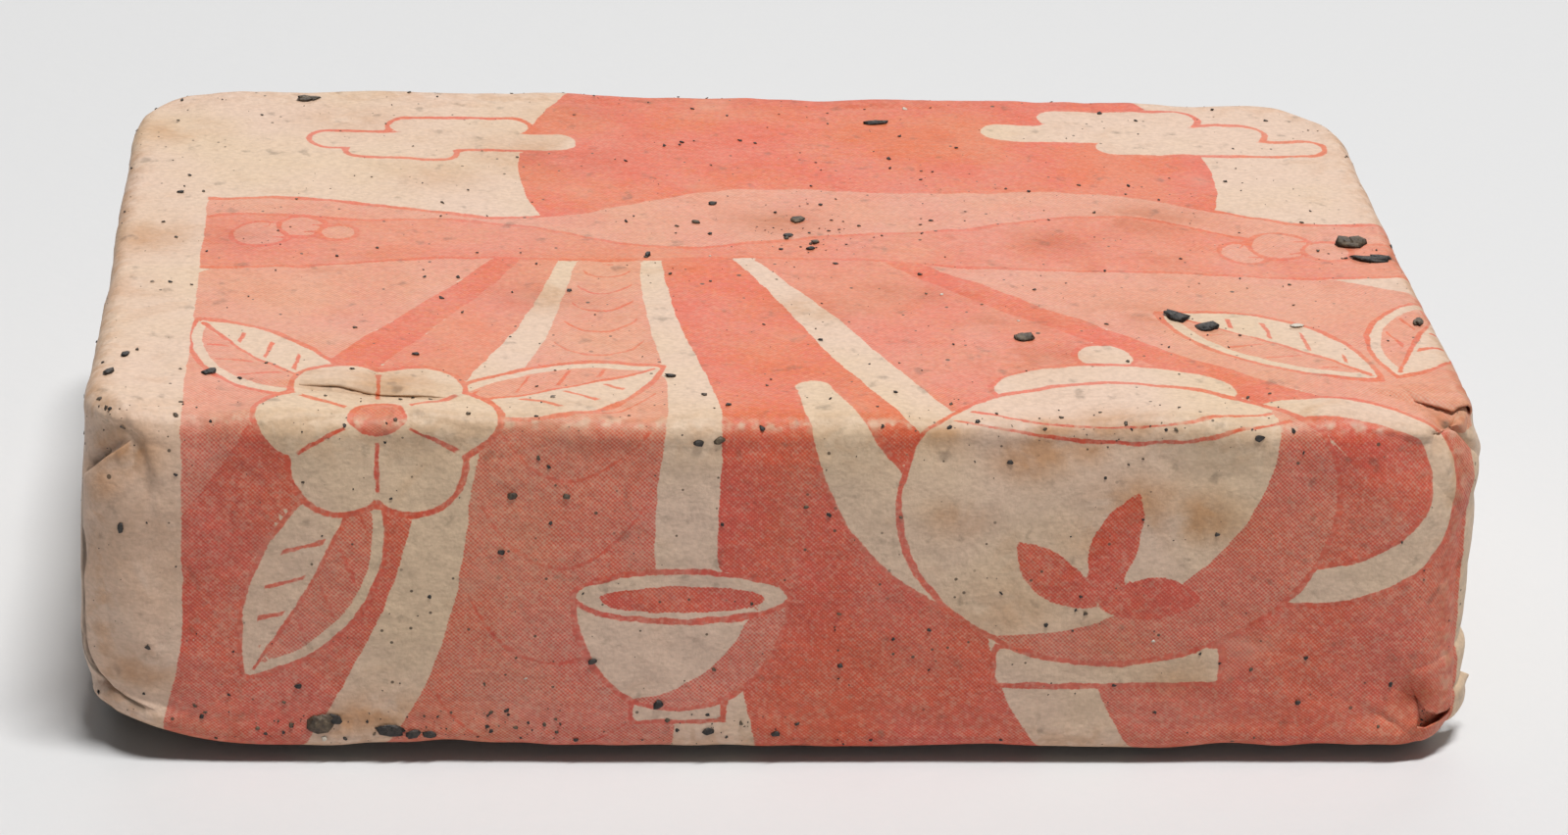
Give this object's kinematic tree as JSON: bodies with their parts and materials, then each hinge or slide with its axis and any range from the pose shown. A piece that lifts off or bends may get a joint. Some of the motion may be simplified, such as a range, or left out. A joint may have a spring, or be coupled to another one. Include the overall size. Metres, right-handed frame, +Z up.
{
  "type": "tea brick",
  "caption": "Rectangular brick of pressed tea wrapped in coral-printed paper that is folded shut at both ends.",
  "frame": {"origin": "middle of the flat underside", "axes": "+X along the length, +Y from the shown long side to the hidden one, +Z up through the thickness"},
  "size_m": [0.1646, 0.1012, 0.0453],
  "materials": {
    "printed_paper": "dry unvarnished wrapping paper, printed in coral red, with tea stains, creases and clinging tea flakes"
  },
  "bodies": {
    "root": {"tea_brick": "printed_paper"}
  },
  "joints": []
}
